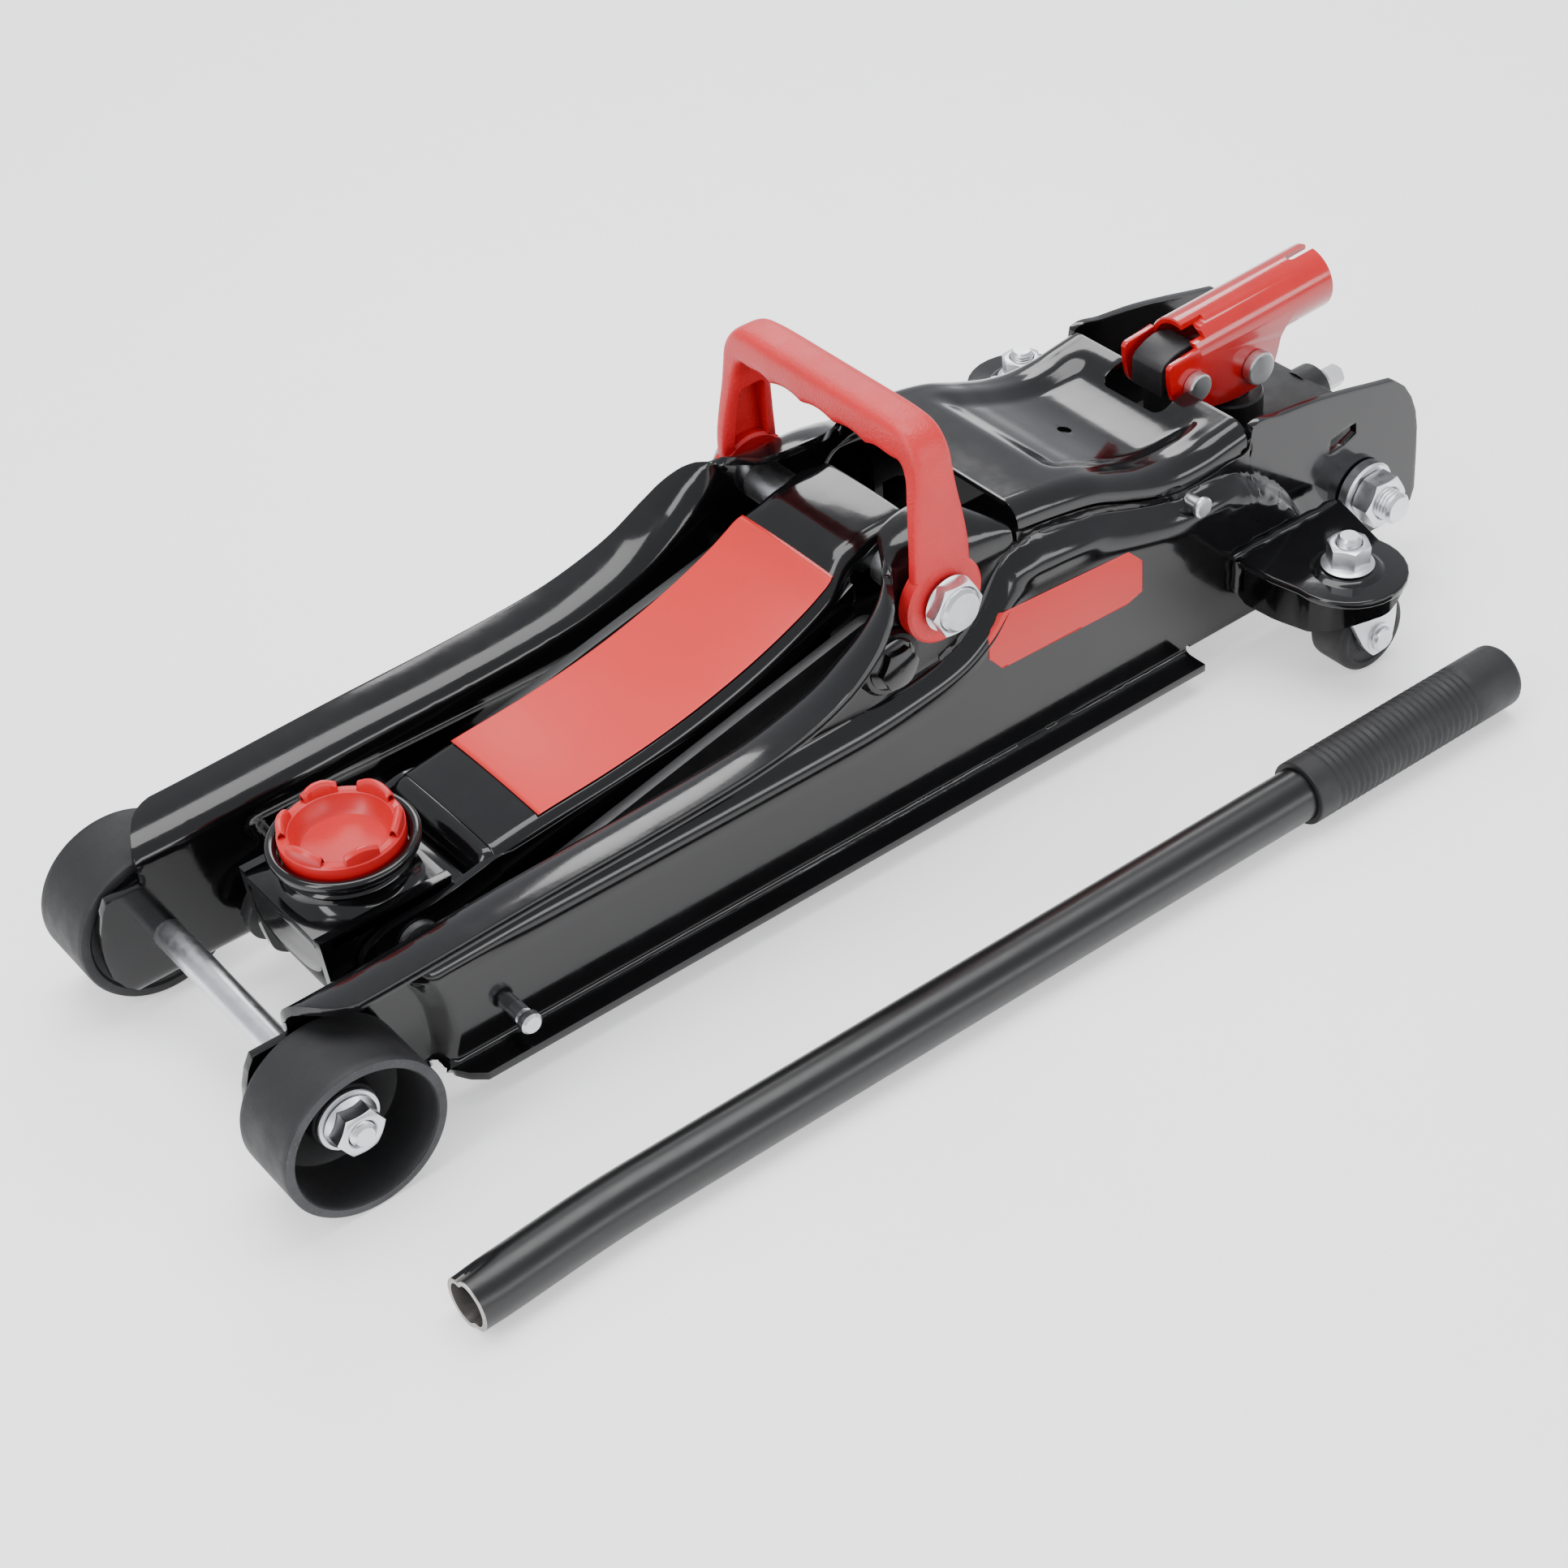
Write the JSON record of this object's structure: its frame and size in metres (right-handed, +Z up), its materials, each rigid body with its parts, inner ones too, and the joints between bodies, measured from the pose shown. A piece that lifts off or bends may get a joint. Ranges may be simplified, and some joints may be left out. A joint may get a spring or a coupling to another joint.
{
  "type": "hydraulic floor jack",
  "caption": "Low-profile wheeled hydraulic floor jack with hinged lifting arm, levelled saddle, red carry handle and pump socket, with its bent handle bar lying beside it.",
  "frame": {"origin": "centre of the bounding box of jack and bar, on the floor", "axes": "+X from the saddle end towards the pump end, +Y towards the side away from the loose bar, +Z up"},
  "size_m": [0.5986, 0.2972, 0.178],
  "materials": {
    "black_paint": "gloss black powder coat",
    "red_paint": "gloss red paint",
    "red_plastic": "fine-grained moulded red plastic",
    "zinc": "bright zinc plating",
    "steel": "oiled machined steel",
    "casting": "dark painted casting",
    "wheel": "matte dark grey moulded wheel",
    "grip": "matte ribbed rubber"
  },
  "bodies": {
    "frame": {"side_plate_far": "black_paint", "side_plate_near": "black_paint", "top_cover": "black_paint", "front_brace": "black_paint", "cylinder_mount": "black_paint", "front_axle": "zinc", "axle_washer_far": "zinc", "axle_washer_near": "zinc", "axle_nut_far": "zinc", "axle_nut_near": "zinc", "pivot_shaft": "zinc", "pivot_nut_far": "zinc", "pivot_nut_near": "zinc", "link_bolt_far": "black_paint", "link_bolt_near": "black_paint", "cylinder_tube": "casting", "pump_block": "casting", "rear_cross_bolt": "zinc", "rear_spacer_far": "zinc", "rear_spacer_near": "zinc", "rear_nut_far": "zinc", "rear_nut_near": "zinc", "caster_bracket_far": "black_paint", "caster_bracket_near": "black_paint", "caster_bolt_far": "zinc", "caster_bolt_near": "zinc", "caster_nut_far": "zinc", "caster_nut_near": "zinc", "stud_pin_far": "zinc", "stud_pin_near": "zinc", "cover_pin_far": "zinc", "cover_pin_near": "zinc"},
    "wheel_far": {"front_wheel_far": "wheel"},
    "wheel_near": {"front_wheel_near": "wheel"},
    "arm": {"lift_arm": "black_paint", "lever_pin": "steel", "saddle_pin": "steel"},
    "yoke": {"saddle_yoke": "black_paint"},
    "saddle": {"saddle_collar": "black_paint", "saddle_cup": "red_paint"},
    "links": {"level_link_far": "casting", "level_link_near": "casting", "link_pin": "steel"},
    "ram": {"ram_rod": "steel", "ram_fork": "casting"},
    "handle": {"carry_handle": "red_plastic"},
    "socket": {"handle_socket": "red_paint", "socket_pivot_pin": "zinc", "socket_roller_pin": "zinc"},
    "plunger": {"pump_plunger": "steel"},
    "release": {"release_valve": "steel"},
    "caster_far": {"caster_fork_far": "zinc", "caster_axle_far": "zinc"},
    "caster_near": {"caster_fork_near": "zinc", "caster_axle_near": "zinc"},
    "caster_roller_far": {"caster_wheel_far": "wheel"},
    "caster_roller_near": {"caster_wheel_near": "wheel"},
    "bar": {"handle_bar": "black_paint", "bar_grip": "grip"}
  },
  "joints": [
    {"name": "arm_lift", "type": "hinge", "parent": "frame", "child": "arm", "pos_m": [0.02025, 0.02405, 0.104], "axis": [0, 1, 0], "range_deg": [0, 68]},
    {"name": "yoke_level", "type": "hinge", "parent": "arm", "child": "yoke", "pos_m": [-0.20675, 0.02405, 0.05], "axis": [0, 1, 0], "range_deg": [-70, 2]},
    {"name": "link_swing", "type": "hinge", "parent": "frame", "child": "links", "pos_m": [-0.00275, 0.02405, 0.083], "axis": [0, 1, 0], "range_deg": [-2, 70]},
    {"name": "saddle_turn", "type": "hinge", "parent": "yoke", "child": "saddle", "pos_m": [-0.21275, 0.02405, 0.082], "axis": [0, 0, 1], "continuous": true},
    {"name": "ram_push", "type": "slide", "parent": "frame", "child": "ram", "axis": [-1, 0, 0], "range_m": [-0.001, 0.065]},
    {"name": "carry_handle_tilt", "type": "hinge", "parent": "frame", "child": "handle", "pos_m": [0.02025, 0.02405, 0.104], "axis": [0, 1, 0], "range_deg": [-20, 40]},
    {"name": "socket_pump", "type": "hinge", "parent": "frame", "child": "socket", "pos_m": [0.19625, 0.02405, 0.1015], "axis": [0, -1, 0], "range_deg": [0, 60]},
    {"name": "plunger_stroke", "type": "slide", "parent": "frame", "child": "plunger", "axis": [0, 0, 1], "range_m": [-0.001, 0.033]},
    {"name": "release_turn", "type": "hinge", "parent": "frame", "child": "release", "pos_m": [0.28925, 0.02405, 0.056], "axis": [1, 0, 0], "range_deg": [-90, 90]},
    {"name": "wheel_spin_far", "type": "hinge", "parent": "frame", "child": "wheel_far", "pos_m": [-0.26675, 0.09805, 0.0325], "axis": [0, 1, 0], "continuous": true},
    {"name": "wheel_spin_near", "type": "hinge", "parent": "frame", "child": "wheel_near", "pos_m": [-0.26675, -0.04995, 0.0325], "axis": [0, 1, 0], "continuous": true},
    {"name": "caster_swivel_far", "type": "hinge", "parent": "frame", "child": "caster_far", "pos_m": [0.20195, 0.12365, 0.045], "axis": [0, 0, 1], "continuous": true},
    {"name": "caster_swivel_near", "type": "hinge", "parent": "frame", "child": "caster_near", "pos_m": [0.20195, -0.07555, 0.045], "axis": [0, 0, 1], "continuous": true},
    {"name": "caster_spin_far", "type": "hinge", "parent": "caster_far", "child": "caster_roller_far", "pos_m": [0.20975, 0.12365, 0.018], "axis": [0, 1, 0], "continuous": true},
    {"name": "caster_spin_near", "type": "hinge", "parent": "caster_near", "child": "caster_roller_near", "pos_m": [0.20975, -0.07555, 0.018], "axis": [0, 1, 0], "continuous": true},
    {"name": "bar_lift_off", "type": "slide", "parent": "frame", "child": "bar", "axis": [0, 0, 1], "range_m": [0, 0.3]}
  ],
  "couplings": [
    {"joint": "yoke_level", "follows": "arm_lift", "ratio": -1},
    {"joint": "link_swing", "follows": "arm_lift", "ratio": 1},
    {"joint": "ram_push", "follows": "arm_lift", "m_per_rad": 0.05277},
    {"joint": "plunger_stroke", "follows": "socket_pump", "m_per_rad": 0.03}
  ]
}
